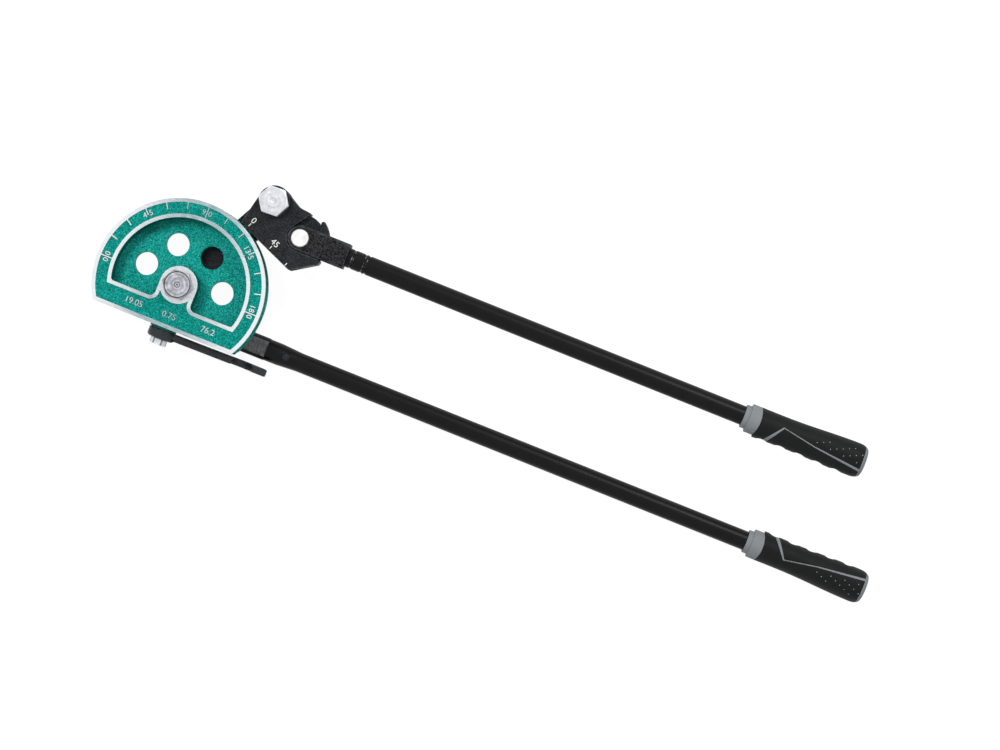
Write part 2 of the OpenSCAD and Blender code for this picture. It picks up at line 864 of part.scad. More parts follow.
module forming_shoe() {
    color("black") on_shoe_frame() translate([0, 0, shoe_z]) difference() {
        union() {
            shoe_body();
            translate([0, 0, (shoe_t - tail_t) / 2]) linear_extrude(tail_t) tail_plan();
        }
        translate([-far / 2, 0, shoe_t / 2]) rotate([0, 90, 0]) cylinder(h = far, r = groove_r);
        translate([shoe_bolt_t, shoe_bolt_n, -over])
            cylinder(h = shoe_t + 2 * over, r = shoe_bush_r + fix_clear);
        translate([pin_t, pin_n, -over]) cylinder(h = shoe_t + 2 * over, r = pin_d / 2 + run_clear);
    }
}

module shoe_bush() {
    color("darkgoldenrod") at_shoe_bolt() translate([0, 0, shoe_z])
        ring(shoe_bush_r, bolt_d / 2 + run_clear, shoe_t);
}

// Moving handle
module knuckle_tip() {
    c = knuckle_chamfer;
    r = knuckle_w / 2;
    h = knuckle_t;
    translate([0, 0, -h / 2]) rotate_extrude() polygon([
        [0, 0], [r - c, 0], [r, c], [r, h - c], [r - c, h], [0, h]]);
}

module knuckle_bar() {
    c = knuckle_chamfer;
    y = knuckle_w / 2;
    z = knuckle_t / 2;
    rotate([90, 0, 90]) linear_extrude(knuckle_l) polygon([
        [-y, c - z], [c - y, -z], [y - c, -z], [y, c - z],
        [y, z - c], [y - c, z], [c - y, z], [-y, z - c]]);
}

module handle_knuckle() {
    slot_t = tail_t + 2 * slide_gap;
    color("black") on_moving_axis() difference() {
        union() {
            knuckle_tip();
            knuckle_bar();
            along_x(knuckle_l) cylinder(h = spigot_l, r = tube_in_r - fix_clear);
        }
        translate([0, 0, -slot_t / 2]) cylinder(h = slot_t, r = tail_r + slide_gap);
        translate([0, 0, -knuckle_t]) cylinder(h = 2 * knuckle_t, r = pin_d / 2 + fix_clear);
    }
}

module handle_pin() {
    tip = 2 * pin_proud;
    half = knuckle_t / 2 + pin_proud;
    r = pin_d / 2;
    color("gainsboro") on_moving_axis() rotate_extrude() polygon([
        [0, -half], [r - tip, -half], [r, tip - half], [r, half - tip], [r - tip, half], [0, half]]);
}

module moving_tube() {
    l = moving_end - tube_inset - knuckle_l;
    r = handle_d / 2;
    color("black") on_moving_axis() along_x(knuckle_l) difference() {
        ring(r, tube_in_r, l);
        for (x = crimp_x)
            translate([0, 0, x]) ring(r + over, r - crimp_h, crimp_w);
    }
}

forming_wheel();
pivot_bolt();
thrust_washer();
pivot_washer();
pivot_nut();
fixed_tang();
tang_pins();
fixed_tube();
tube_rivet();
fixed_grip_core();
fixed_grip_palm();
fixed_grip_fingers();
latch_bolt();
tube_latch();
link_arm();
link_bush();
shoe_bolt();
shoe_washer();
shoe_spacer();
link_washer();
shoe_nut();
forming_shoe();
shoe_bush();
handle_knuckle();
handle_pin();
moving_tube();
moving_grip_core();
moving_grip_palm();
moving_grip_fingers();
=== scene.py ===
"""Looks of a lever tube bender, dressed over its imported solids.

Lengths are metres in the frame of the solids: the pivot's axis is Z, the fixed handle runs along
+X and the bench is Z = 0. Sizes in the tables and formulas are written in millimetres (MM).
"""
import json
from math import cos, hypot, pi, radians, sin, tan

import bmesh
import bpy
import numpy as np
from bpy.props import FloatProperty, FloatVectorProperty, PointerProperty
from mathutils import Matrix, Vector


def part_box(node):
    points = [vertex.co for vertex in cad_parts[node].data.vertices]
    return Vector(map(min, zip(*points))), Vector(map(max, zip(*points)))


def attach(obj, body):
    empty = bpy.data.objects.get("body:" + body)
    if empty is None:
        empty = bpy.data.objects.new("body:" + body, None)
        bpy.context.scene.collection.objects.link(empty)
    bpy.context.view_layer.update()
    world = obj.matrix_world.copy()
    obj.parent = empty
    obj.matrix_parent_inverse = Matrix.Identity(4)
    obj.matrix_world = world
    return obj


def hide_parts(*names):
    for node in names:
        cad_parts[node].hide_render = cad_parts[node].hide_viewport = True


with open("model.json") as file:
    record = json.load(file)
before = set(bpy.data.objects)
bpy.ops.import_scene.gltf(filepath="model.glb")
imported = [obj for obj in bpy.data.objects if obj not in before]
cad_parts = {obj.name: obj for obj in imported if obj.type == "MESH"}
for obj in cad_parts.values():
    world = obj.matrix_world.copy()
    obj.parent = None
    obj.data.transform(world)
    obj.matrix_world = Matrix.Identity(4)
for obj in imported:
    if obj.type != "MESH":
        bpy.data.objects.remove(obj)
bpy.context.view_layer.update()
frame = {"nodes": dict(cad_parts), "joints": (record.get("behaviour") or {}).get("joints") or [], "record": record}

bl_info = {
    "name": "Lever tube bender",
    "version": (1, 0, 0),
    "blender": (4, 5, 0),
    "location": "View3D > Sidebar > Tube bender",
    "description": "Dresses the solids of a lever tube bender with its finishes and marks",
    "category": "Object",
}

MM = 0.001
JOINT = {j["name"]: np.array(j["pos_m"]) for j in frame["joints"]}
PIVOT = JOINT["link_swing"]
SHOE_BOLT = JOINT["shoe_open"]
HANDLE_PIN = JOINT["handle_reposition"]
LATCH_BOLT = JOINT["latch_swing"]
BODY_OF = {n: b for b, ns in frame["record"]["behaviour"]["bodies"].items() for n in ns}

# The wheel: heights of its machined bands, of the middle of its numbers and of the pocket's floor,
# radii between the bands, the bend radius, and the middle of the strip below the dial
BAND_Z = 65.0 * MM
NUMBER_Z = 64.5 * MM
POCKET_Z = 45.0 * MM
BAND_IN, BAND_OUT = 62.7 * MM, 72.7 * MM
BEND_R = 76.2 * MM
STRIP_Y = -27.8 * MM
# The wheel's numbers: thickness, how far their outline is swelled, and a figure's share of the font's size
NUMBER_T = 1.0 * MM
NUMBER_SWELL = 0.03 * MM
FIGURE_SHARE = 0.72
# The shoe's straight edge: angle of its contact point, and height of its upper face
SHOE_ANGLE = radians(67.2)
SHOE_Z = 60.7 * MM
# The moving tube's crimped rings: edges from its start where painted glints and wear lie, half width of these
# lines, and their whole span
CRIMP_EDGES = tuple(x * MM for x in (4.4, 6, 15.7, 18))
CRIMP_LINE_HALF = 0.45 * MM
CRIMP_SPAN = 24 * MM
# A grip, in mm from its front: place and radius of its waist, the flare before it, the swelling behind
# it, and the slope and start of its middle line
WAIST_S, WAIST_R = 42, 13.5
FLARE_S, FLARE = 27.6, 0.4
SWELL_S, SWELL = 59, 1.7
LEAN, LEAN_START = tan(radians(0.87)), -1
# Studs on a palm: count in each row, and the first stud, the step in a row and the step between rows,
# as (along, across) in mm. A stud's rings are angles from its top, and its height is a share of its radius
STUD_ROWS = (3, 5, 4, 1)
STUD_FIRST, STUD_STEP, STUD_ROW_STEP = (67.6, 1.85), (5.15, 2.25), (12.8, -1.2)
STUD_SIDES, STUD_RINGS, STUD_RISE = 10, (95, 60, 30), 0.55
# Length of thread at the end of a bolt
THREAD_L = 6 * MM
# Settings of the lighter finish on the rounds of black pieces, painted as edge highlight as well as worn coat, and
# of the tubes' satin coat
EDGE_WEAR_AND_HIGHLIGHT = {"grain": 2.6 * MM, "relief": 0.3, "rough": 0.45, "spread": (0.12, 1.5)}
SATIN = {"grain": 0.7 * MM, "relief": 0.1, "rough": 0.33, "spread": (0.5, 1.1), "shine": 0.12}
# The camera: the point straight below it, its turn and its lens
AIM = np.array([290.3, 31.3, 0]) * MM
CAMERA_TURN = radians(21.8)
LENS = 94.7


def linear(code):
    """An sRGB hex colour as linear RGBA: the sRGB curve undone for each channel."""
    c = np.array([int(code[i:i + 2], 16) for i in (1, 3, 5)]) / 255
    rgb = np.where(c <= 0.04045, c / 12.92, ((c + 0.055) / 1.055) ** 2.4)
    return (*rgb.tolist(), 1.0)


def colour(name, description, code):
    return FloatVectorProperty(
        name=name, description=description, subtype="COLOR", size=4, min=0, max=1, default=linear(code))


def length(name, description, mm):
    return FloatProperty(
        name=name, description=description, subtype="DISTANCE", unit="LENGTH", default=mm * MM, min=0)


class BenderColours(bpy.types.PropertyGroup):
    enamel: colour("Enamel", "Hammered enamel of the forming wheel", "#06988D")
    # Besides the dimples' own deep tone, the pocket's walls are painted towards this colour as shade
    enamel_deep: colour("Enamel hollows", "Enamel where it has run thick in the hollows", "#02645C")
    # The pocket's floor leans slightly towards this colour as painted light
    enamel_fleck: colour("Enamel flecks", "Bright flecks in the enamel", "#43C5B8")
    aluminium: colour("Machined aluminium", "Bands that are machined clean on the wheel", "#ECEFF2")
    # Painted shade: the bands' dim teal-grey tone along the wheel's middle, where their brushed reflection is weak
    aluminium_painted_shade: colour("Aluminium in painted shade", "Bands in painted shade, where their brushed reflection is weak", "#839FA4")
    zinc: colour("Zinc plate", "Bolts, nuts, washers and pins", "#DFE0E6")
    worn_zinc: colour("Worn zinc", "Head of the pivot bolt, dulled by the wrench", "#CFD0D8")
    pin: colour("Bright pin", "Freshly faced ends of the handle pin", "#F3F3F1")
    black_oxide: colour("Black oxide", "Shoe, link arm, washer, tang and rivet", "#1C1D1F")
    burnished: colour("Burnished steel", "Ground flat of the tang under the wheel", "#747375")
    # Painted highlight on the rounds of black pieces, as well as their worn coat
    edge_wear_and_highlight: colour("Worn and highlit edges", "Edges of black pieces where the coat is worn thin", "#3E3F42")
    powder: colour("Powder coat", "Handle tubes and knuckle", "#131314")
    grey: colour("Grey plastic", "Collar, accent line and cap of the grips", "#808486")
    rubber: colour("Black rubber", "Palm and finger panels of the grips", "#131414")
    # Painted highlight: the studs' lighter grey stands for the glints that polished black studs catch
    stud: colour("Stud", "Shiny studs moulded on the palm of a grip", "#8A8D90")
    latch: colour("Latch coat", "Cast latch with its thin black coat", "#232426")
    bronze: colour("Bronze", "Bushes of the link arm and the shoe", "#A9814E")
    marking: colour("Marking paint", "Numbers and lines on the shoe", "#E6E6E4")
    floor: colour("Floor", "Paper that the tool lies on", "#FFFFFF")


class BenderSizes(bpy.types.PropertyGroup):
    edge: length("Edge rounding", "Radius of the broken edges of steel pieces", 0.35)
    enamel_grain: length("Enamel grain", "Width of a dimple of the hammered enamel", 0.6)
    coat_grain: length("Coat grain", "Width of a grain of the wrinkled knuckle coat", 0.8)
    ring_pitch: length("Turning pitch", "Distance between turning rings on a bolt head", 1.9)
    thread_pitch: length("Thread pitch", "Pitch of the M16 threads", 2.0)
    numeral: length("Numeral height", "Height of the dial's numbers", 4.9)
    shoe_numeral: length("Shoe numeral height", "Height of the shoe's numbers", 5.6)
    stud: length("Stud radius", "Radius of the small studs on the palm of a grip", 0.5)
    camera_height: length("Camera height", "Height of the camera over the bench", 2365)


# Meshes

def new_piece(name, mesh, body, material):
    """An object at the origin that rides on a body and takes the finish that it is given."""
    piece = bpy.data.objects.new(name, mesh)
    bpy.context.scene.collection.objects.link(piece)
    mesh.materials.clear()
    mesh.materials.append(material)
    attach(piece, body)
    return piece


def mesh_of(name, points, faces):
    mesh = bpy.data.meshes.new(name)
    mesh.from_pydata(np.asarray(points).tolist(), [], [list(f) for f in faces])
    mesh.shade_smooth()
    mesh.validate()
    mesh.update()
    return mesh


def round_edges(piece, width, angle=30):
    """Breaks every edge sharper than an angle with a small round, and keeps flat faces flat."""
    bevel = piece.modifiers.new("broken edges", "BEVEL")
    bevel.width = width
    bevel.segments = 2
    bevel.limit_method = "ANGLE"
    bevel.angle_limit = radians(angle)
    bevel.use_clamp_overlap = False
    bevel.miter_outer = "MITER_ARC"
    weight = piece.modifiers.new("flat faces", "WEIGHTED_NORMAL")
    weight.keep_sharp = True


def merged_copy(node, material, edge, angle=30, edge_wear_and_highlight=None):
    """A copy of a solid's mesh whose loose triangles are welded where points agree to a micron,
    with coplanar triangles joined, so that its edges can be rounded. The rounds take the lighter
    edge finish, painted highlight as well as wear, where one is given."""
    source = frame["nodes"][node].data
    points = np.empty(len(source.vertices) * 3)
    corners = np.empty(len(source.loops), dtype=np.int64)
    source.vertices.foreach_get("co", points)
    source.loops.foreach_get("vertex_index", corners)
    points = points.reshape(-1, 3)
    _, first, index = np.unique(np.round(points / 1e-6).astype(np.int64), axis=0,
                                return_index=True, return_inverse=True)
    tris = index.reshape(-1)[corners].reshape(-1, 3)
    whole = (tris[:, 0] != tris[:, 1]) & (tris[:, 1] != tris[:, 2]) & (tris[:, 2] != tris[:, 0])
    mesh = mesh_of(node + "_skin", points[first], tris[whole])
    work = bmesh.new()
    work.from_mesh(mesh)
    bmesh.ops.dissolve_limit(work, angle_limit=radians(0.3), verts=work.verts, edges=work.edges)
    work.to_mesh(mesh)
    work.free()
    mesh.shade_smooth()
    piece = new_piece(node + "_skin", mesh, BODY_OF[node], material)
    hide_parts(node)
    if edge:
        round_edges(piece, edge, angle)
    if edge_wear_and_highlight:
        mesh.materials.append(edge_wear_and_highlight)
        piece.modifiers["broken edges"].material = 1
    return piece


def turned(rows, columns=144, flats=None, place=Matrix.Identity(4), helix=None):
    """A surface of revolution: each row is (radius, height, flag), in metres, turned about Z.
    A row flagged "hex" is cut back to a hexagon of the given width across flats, whose edge lies
    flats / 2 / cos(angle from the middle of its flat) from the axis. A row flagged "thread" is cut
    by a ridge that falls one pitch in a turn. Returns points and four-sided faces, closed round."""
    turn = np.arange(columns) * 2 * pi / columns
    r, z, flag = (np.array([row[i] for row in rows]) for i in range(3))
    radius = np.repeat(r[:, None].astype(float), columns, axis=1)
    height = np.repeat(z[:, None].astype(float), columns, axis=1)
    if flats:
        hexagon = flats / 2 / np.cos((turn % (pi / 3)) - pi / 6)
        radius = np.where((flag == "hex")[:, None], np.minimum(radius, hexagon), radius)
    if helix:
        pitch, depth = helix
        ridge = np.abs(((height / pitch - turn / (2 * pi)) % 1) * 2 - 1)
        radius = np.where((flag == "thread")[:, None], radius - depth * ridge, radius)
    grid = np.stack([radius * np.cos(turn), radius * np.sin(turn), height], axis=-1).reshape(-1, 3)
    m = np.array(place)
    grid = grid @ m[:3, :3].T + m[:3, 3]
    i, j = np.meshgrid(np.arange(len(rows) - 1), np.arange(columns), indexing="ij")
    k = (j + 1) % columns
    faces = np.stack([i * columns + j, i * columns + k, (i + 1) * columns + k, (i + 1) * columns + j], -1)
    return grid, faces.reshape(-1, 4)


def lettering(marks, name):
    """One mesh of several extruded texts: marks are (text, height, thickness, place, swell), where
    place is a matrix that carries the text's own plane to the surface, and swell widens its strokes."""
    points, faces, count = [], [], 0
    for text, height, thickness, place, swell in marks:
        curve = bpy.data.curves.new(name, "FONT")
        curve.body, curve.size = text, height / FIGURE_SHARE
        curve.align_x, curve.align_y = "CENTER", "CENTER"
        curve.extrude, curve.offset = thickness / 2, swell
        holder = bpy.data.objects.new(name, curve)
        bpy.context.scene.collection.objects.link(holder)
        bpy.context.view_layer.update()
        mesh = bpy.data.meshes.new_from_object(
            holder.evaluated_get(bpy.context.evaluated_depsgraph_get()))
        co = np.empty(len(mesh.vertices) * 3)
        mesh.vertices.foreach_get("co", co)
        co = co.reshape(-1, 3)
        co[:, :2] -= (co[:, :2].max(0) + co[:, :2].min(0)) / 2
        m = np.array(place)
        points.append(co @ m[:3, :3].T + m[:3, 3])
        faces += [[v + count for v in p.vertices] for p in mesh.polygons]
        count += len(co)
        bpy.data.objects.remove(holder)
        bpy.data.curves.remove(curve)
        bpy.data.meshes.remove(mesh)
    mesh = mesh_of(name, np.concatenate(points), faces)
    mesh.shade_flat()
    return mesh


def bars(lines, name):
    """One mesh of several flat bars: each is (start, end, width, low, high), its plan a strip of
    the given width along the line from start to end, between two heights."""
    points, faces = [], []
    for n, (a, b, width, low, high) in enumerate(lines):
        a, b = np.array(a), np.array(b)
        along = (b - a) / hypot(*(b - a))
        side = np.array([-along[1], along[0]]) * width / 2
        plan = np.array([a - side, b - side, b + side, a + side])
        points += [np.column_stack([plan, np.full(4, h)]) for h in (low, high)]
        faces += [[v + 8 * n for v in f] for f in
                  ([3, 2, 1, 0], [4, 5, 6, 7], [0, 1, 5, 4], [1, 2, 6, 5], [2, 3, 7, 6], [3, 0, 4, 7])]
    mesh = mesh_of(name, np.concatenate(points), faces)
    mesh.shade_flat()
    return mesh


def upright(x, y, z, turn):
    """Carries a text's plane to a point on a face that looks up, turned about Z."""
    return Matrix.Translation((x, y, z)) @ Matrix.Rotation(turn, 4, "Z")


# Finishes

def add(tree, kind, inputs=None, **settings):
    """Adds a node: settings are its properties, inputs are values or sockets to link."""
    node = tree.nodes.new("ShaderNode" + kind)
    for key, value in settings.items():
        setattr(node, key, value)
    for key, value in (inputs or {}).items():
        if isinstance(value, bpy.types.NodeSocket):
            tree.links.new(value, node.inputs[key])
        else:
            node.inputs[key].default_value = value
    return node


def new_finish(name, **sockets):
    """A Principled material with fixed values on its own sockets, and its Object coordinates."""
    material = bpy.data.materials.new(name)
    material.use_nodes = True
    tree = material.node_tree
    surface = tree.nodes["Principled BSDF"]
    for socket, value in sockets.items():
        surface.inputs[socket.replace("_", " ")].default_value = value
    return material, tree, surface, add(tree, "TexCoord").outputs["Object"]


def per(size):
    """Noise scale for a feature of a given size in metres."""
    return 1 / size


def hammered_enamel(colours, sizes):
    """Hammered enamel on an aluminium casting: a dimpled, glossy teal skin with bright flecks, with painted
    shade on the pocket's walls and painted light and shade by height, a little darker on the face and
    lighter on the pocket's floor, and machined clean to brushed metal on the raised bands of the face.
    The metal is painted dim along the wheel's middle and lighter at left and right, as painted shade and
    highlight of its brushed reflection, and it is also brighter round the bolt."""
    m, tree, surface, place = new_finish("hammered enamel on cast aluminium", Specular_IOR_Level=0.06)
    axes = add(tree, "SeparateXYZ", {0: place})
    height = axes.outputs["Z"]
    flat = add(tree, "VectorMath", {0: place, 1: (1, 1, 0)}, operation="MULTIPLY")
    reach = add(tree, "VectorMath", {0: flat.outputs[0]}, operation="LENGTH").outputs["Value"]
    bare = add(tree, "MapRange", {0: height, 1: BAND_Z - 0.35 * MM, 2: BAND_Z - 0.25 * MM}).outputs[0]
    grain = per(sizes.enamel_grain)
    dimples = add(tree, "TexNoise", {"Vector": place, "Scale": grain, "Detail": 3.0, "Roughness": 0.62})
    flecks = add(tree, "TexVoronoi", {"Vector": place, "Scale": grain})
    speckled = add(tree, "Mix", {0: 0.5, 2: dimples.outputs[0], 3: flecks.outputs["Color"]})
    # Painted light and shade by height: the face a little darker, the pocket's floor and all below it a little
    # lighter
    depth_painted_light = add(tree, "MapRange", {0: height, 1: BAND_Z - 4 * MM, 2: BAND_Z - 19.5 * MM,
                                    3: -0.025, 4: 0.025})
    # The pocket's walls lie over its floor, within the bands and below the face; they take painted shade
    over_web = add(tree, "MapRange", {0: height, 1: POCKET_Z + 0.3 * MM, 2: POCKET_Z + 1.0 * MM})
    in_pocket = add(tree, "MapRange", {0: reach, 1: BAND_IN - 2 * MM, 2: BAND_IN - 1 * MM,
                                       3: 1.0, 4: 0.0})
    below_face = add(tree, "MapRange", {0: height, 1: BAND_Z - 1.6 * MM, 2: BAND_Z - 1.2 * MM,
                                        3: 1.0, 4: 0.0})
    steep = add(tree, "Math", {0: over_web.outputs[0], 1: in_pocket.outputs[0]}, operation="MULTIPLY")
    wall = add(tree, "Math", {0: steep.outputs[0], 1: below_face.outputs[0]}, operation="MULTIPLY")
    # Painted shade on the pocket's walls, pulling them towards the deep enamel, added to the painted light and
    # shade by height
    run = add(tree, "Math", {0: wall.outputs[0], 1: -0.2, 2: depth_painted_light.outputs[0]}, operation="MULTIPLY_ADD")
    coat = add(tree, "Math", {0: speckled.outputs[0], 1: run.outputs[0]})
    paint = add(tree, "ValToRGB", {0: coat.outputs[0]})
    ramp = paint.color_ramp.elements
    ramp[0].position, ramp[1].position = 0.41, 0.77
    ramp.new(0.58)
    for stop, tone in zip(ramp, (colours.enamel_deep, colours.enamel, colours.enamel_fleck)):
        stop.color = tone
    along = add(tree, "Mapping", {"Vector": place,
                                  "Scale": (per(6 * MM), per(0.35 * MM), per(0.35 * MM))})
    brushed = add(tree, "TexNoise", {"Vector": along.outputs[0], "Scale": 1.0, "Detail": 2.0})
    # Painted highlight and shade of the bands' brushed reflection: lighter towards left and right along X, dim
    # along the middle, and also brighter round the bolt
    beside = add(tree, "Math", {0: axes.outputs["X"]}, operation="ABSOLUTE")
    side_painted_highlight = add(tree, "MapRange", {0: beside.outputs[0], 1: 20 * MM, 2: 66 * MM, 3: 0.0, 4: 0.5})
    boss = add(tree, "MapRange", {0: reach, 1: 20 * MM, 2: 26 * MM, 3: 0.38, 4: 0.0})
    worn = add(tree, "Math", {0: side_painted_highlight.outputs[0], 1: boss.outputs[0]}, operation="MAXIMUM")
    brushing_and_painted_highlight = add(tree, "Math", {0: brushed.outputs[0], 1: worn.outputs[0]})
    metal = add(tree, "ValToRGB", {0: brushing_and_painted_highlight.outputs[0]})
    painted_shade_stop, bright = metal.color_ramp.elements
    painted_shade_stop.position, bright.position = 0.3, 0.95
    painted_shade_stop.color, bright.color = colours.aluminium_painted_shade, colours.aluminium
    mixed = add(tree, "Mix", {0: bare, 6: paint.outputs[0], 7: metal.outputs[0]}, data_type="RGBA")
    tree.links.new(mixed.outputs[2], surface.inputs["Base Color"])
    tree.links.new(bare, surface.inputs["Metallic"])
    rough = add(tree, "MapRange", {0: bare, 3: 0.42, 4: 0.50})
    tree.links.new(rough.outputs[0], surface.inputs["Roughness"])
    relief = add(tree, "Mix", {0: bare, 2: dimples.outputs[0], 3: brushed.outputs[0]})
    depth = add(tree, "MapRange", {0: bare, 3: 0.55, 4: 0.12})
    bump = add(tree, "Bump", {"Strength": depth.outputs[0], "Distance": 0.25 * MM,
                              "Height": relief.outputs[0]})
    tree.links.new(bump.outputs[0], surface.inputs["Normal"])
    return m


def turned_zinc(base, sizes, name, centre, tones, plane=(1, 1, 0), metallic=0.75,
                cloudy=(0.82, 1.1)):
    """Bright zinc plate on a turned head: paler and darker rings, partly left by the tool and partly painted
    reflection and shade, under patches that are cloudy between two levels. tones lists (radius in mm,
    share of the base colour) from the centre outwards, read at the distance from the axis in the given
    plane. A wave is the feed of the tool: a real feed of about 0.2 mm is too fine to show, so it is drawn
    coarser."""
    m, tree, surface, place = new_finish(name, Metallic=metallic)
    centred = add(tree, "Mapping", {"Vector": place, "Location": [-c for c in centre]})
    flat = add(tree, "VectorMath", {0: centred.outputs[0], 1: plane}, operation="MULTIPLY")
    reach = add(tree, "VectorMath", {0: flat.outputs[0]}, operation="LENGTH")
    share = add(tree, "MapRange", {0: reach.outputs["Value"], 2: tones[-1][0] * MM})
    tone = add(tree, "ValToRGB", {0: share.outputs[0]})
    ramp = tone.color_ramp.elements
    for radius, _ in tones[1:-1]:
        ramp.new(radius / tones[-1][0])
    for stop, (_, level) in zip(ramp, tones):
        stop.color = [level * c for c in base[:3]] + [1]
    patch = add(tree, "TexNoise", {"Vector": place, "Scale": per(4.5 * MM), "Detail": 5.0,
                                   "Roughness": 0.65})
    cloud = add(tree, "MapRange", {0: patch.outputs[0], 1: 0.3, 2: 0.7, 3: cloudy[0], 4: cloudy[1]})
    mixed = add(tree, "Mix", {0: 1.0, 6: tone.outputs[0], 7: cloud.outputs[0]},
                data_type="RGBA", blend_type="MULTIPLY")
    tree.links.new(mixed.outputs[2], surface.inputs["Base Color"])
    rough = add(tree, "MapRange", {0: patch.outputs[0], 3: 0.42, 4: 0.58})
    tree.links.new(rough.outputs[0], surface.inputs["Roughness"])
    feed = add(tree, "Math", {0: reach.outputs["Value"], 1: 2 * pi / sizes.ring_pitch},
               operation="MULTIPLY")
    wave = add(tree, "Math", {0: feed.outputs[0]}, operation="SINE")
    bump = add(tree, "Bump", {"Strength": 0.15, "Distance": 0.12 * MM, "Height": wave.outputs[0]})
    tree.links.new(bump.outputs[0], surface.inputs["Normal"])
    return m


def plain_zinc(colours):
    """Zinc plate on stamped washers, nuts and pins: pale metal with a soft, cloudy shine."""
    m, tree, surface, place = new_finish("zinc plated steel", Metallic=1.0)
    cloud = add(tree, "TexNoise", {"Vector": place, "Scale": per(2.5 * MM), "Detail": 4.0})
    tone = add(tree, "ValToRGB", {0: cloud.outputs[0]})
    tone.color_ramp.elements[0].color = [0.75 * c for c in colours.zinc[:3]] + [1]
    tone.color_ramp.elements[1].color = colours.zinc
    tree.links.new(tone.outputs[0], surface.inputs["Base Color"])
    rough = add(tree, "MapRange", {0: cloud.outputs[0], 3: 0.24, 4: 0.46})
    tree.links.new(rough.outputs[0], surface.inputs["Roughness"])
    bump = add(tree, "Bump", {"Strength": 0.12, "Distance": 0.1 * MM, "Height": cloud.outputs[0]})
    tree.links.new(bump.outputs[0], surface.inputs["Normal"])
    return m


def coated(name, base, grain, relief, rough, spread=(0.65, 1.4), shine=0.1, cells=0.0):
    """A coat or a moulded skin: a colour that drifts between two shares of its base, and a grain that
    breaks the shine, with separate pebbles where cells is over 0. Real grains of 0.1 to 0.4 mm are finer
    than a pixel of the render, so all are drawn as coarse as they need to show."""
    m, tree, surface, place = new_finish(name, Specular_IOR_Level=shine)
    drift = add(tree, "TexNoise", {"Vector": place, "Scale": per(9 * MM), "Detail": 5.0})
    fine = add(tree, "TexNoise", {"Vector": place, "Scale": per(grain), "Detail": 2.0, "Roughness": 0.6})
    both = add(tree, "Mix", {0: 0.3, 2: fine.outputs[0], 3: drift.outputs[0]})
    if cells:
        grains = add(tree, "TexVoronoi", {"Vector": place, "Scale": per(grain)})
        both = add(tree, "Mix", {0: cells, 2: both.outputs[0], 3: grains.outputs["Color"]})
    tone = add(tree, "ValToRGB", {0: both.outputs[0]})
    for stop, position, level in zip(tone.color_ramp.elements, (0.36, 0.64), spread):
        stop.position, stop.color = position, [level * c for c in base[:3]] + [1]
    tree.links.new(tone.outputs[0], surface.inputs["Base Color"])
    gloss = add(tree, "MapRange", {0: fine.outputs[0], 3: rough - 0.08, 4: rough + 0.10})
    tree.links.new(gloss.outputs[0], surface.inputs["Roughness"])
    bump = add(tree, "Bump", {"Strength": relief, "Distance": 0.2 * MM, "Height": fine.outputs[0]})
    tree.links.new(bump.outputs[0], surface.inputs["Normal"])
    return m


def crimp_glints_and_wear(material, colours, start):
    """Painted glints and wear on the crimped rings of a tube along X: thin broken lines of bare steel on
    the rings' edges, at their distances from the tube's start, standing for glints there as well as wear."""
    tree = material.node_tree
    surface = tree.nodes["Principled BSDF"]
    coat = surface.inputs["Base Color"].links[0].from_socket
    place = add(tree, "TexCoord").outputs["Object"]
    axes = add(tree, "SeparateXYZ", {0: place})
    share = add(tree, "MapRange", {0: axes.outputs["X"], 1: start, 2: start + CRIMP_SPAN})
    lines = add(tree, "ValToRGB", {0: share.outputs[0]})
    ramp = lines.color_ramp.elements
    ramp[0].color = ramp[1].color = (0, 0, 0, 1)
    for edge in CRIMP_EDGES:
        for shift, level in ((-CRIMP_LINE_HALF, 0), (0, 0.5), (CRIMP_LINE_HALF, 0)):
            ramp.new((edge + shift) / CRIMP_SPAN).color = (level, level, level, 1)
    edge_wear_and_highlight = add(tree, "TexNoise", {"Vector": place, "Scale": per(3.5 * MM), "Detail": 2.0})
    broken = add(tree, "MapRange", {0: edge_wear_and_highlight.outputs[0], 1: 0.48, 2: 0.62})
    bare = add(tree, "Math", {0: lines.outputs[0], 1: broken.outputs[0]}, operation="MULTIPLY")
    tone = add(tree, "Mix", {0: bare.outputs[0], 6: coat, 7: colours.zinc}, data_type="RGBA")
    tree.links.new(tone.outputs[2], surface.inputs["Base Color"])


def ground_flat(colours, top):
    """Black oxide with one face ground back to grey steel: the coat ends just below the flat, and the
    grinding marks run across the bar, drawn coarser than the grit so that they show."""
    m, tree, surface, place = new_finish("black oxide ground to a flat", Roughness=0.5,
                                         Specular_IOR_Level=0.1)
    axes = add(tree, "SeparateXYZ", {0: place})
    bare = add(tree, "MapRange", {0: axes.outputs["Z"], 1: top - 0.6 * MM, 2: top - 0.3 * MM})
    marks = add(tree, "Mapping", {"Vector": place, "Scale": (per(1.2 * MM), per(3 * MM), per(3 * MM))})
    brushed = add(tree, "TexNoise", {"Vector": marks.outputs[0], "Scale": 1.0, "Detail": 2.0})
    steel = add(tree, "ValToRGB", {0: brushed.outputs[0]})
    dull, bright = steel.color_ramp.elements
    dull.position, bright.position = 0.32, 0.68
    dull.color, bright.color = [0.45 * c for c in colours.burnished[:3]] + [1], colours.burnished
    tone = add(tree, "Mix", {0: bare.outputs[0], 6: colours.black_oxide, 7: steel.outputs[0]},
               data_type="RGBA")
    tree.links.new(tone.outputs[2], surface.inputs["Base Color"])
    bump = add(tree, "Bump", {"Strength": 0.15, "Distance": 0.1 * MM, "Height": brushed.outputs[0]})
    tree.links.new(bump.outputs[0], surface.inputs["Normal"])
    return m


